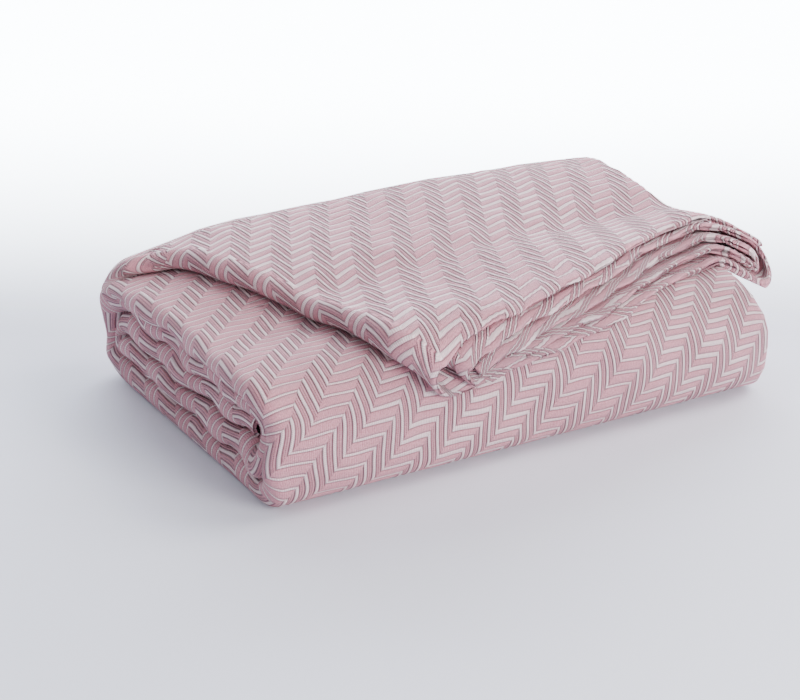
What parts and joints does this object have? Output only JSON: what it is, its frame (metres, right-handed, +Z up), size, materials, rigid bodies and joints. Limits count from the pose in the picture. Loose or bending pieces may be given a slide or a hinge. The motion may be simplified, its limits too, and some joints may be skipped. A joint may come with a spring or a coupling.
{
  "type": "folded blanket",
  "caption": "Soft chevron-patterned blanket rolled flat into a low rectangular pile, with its outer end turned back at a slant so that the layered hem shows; it lies on a bed, sofa or shelf.",
  "frame": {"origin": "centre of the bounding box, on the surface the pile lies on", "axes": "+X along the long front face, towards the end where the hem droops; +Z up, away from the surface; -Y is the front"},
  "size_m": [0.5766, 0.3846, 0.1558],
  "materials": {
    "pink_cloth": "matte woven cloth, dusty pink with raised off-white stepped lines"
  },
  "bodies": {
    "root": {"blanket": "pink_cloth"}
  },
  "joints": []
}
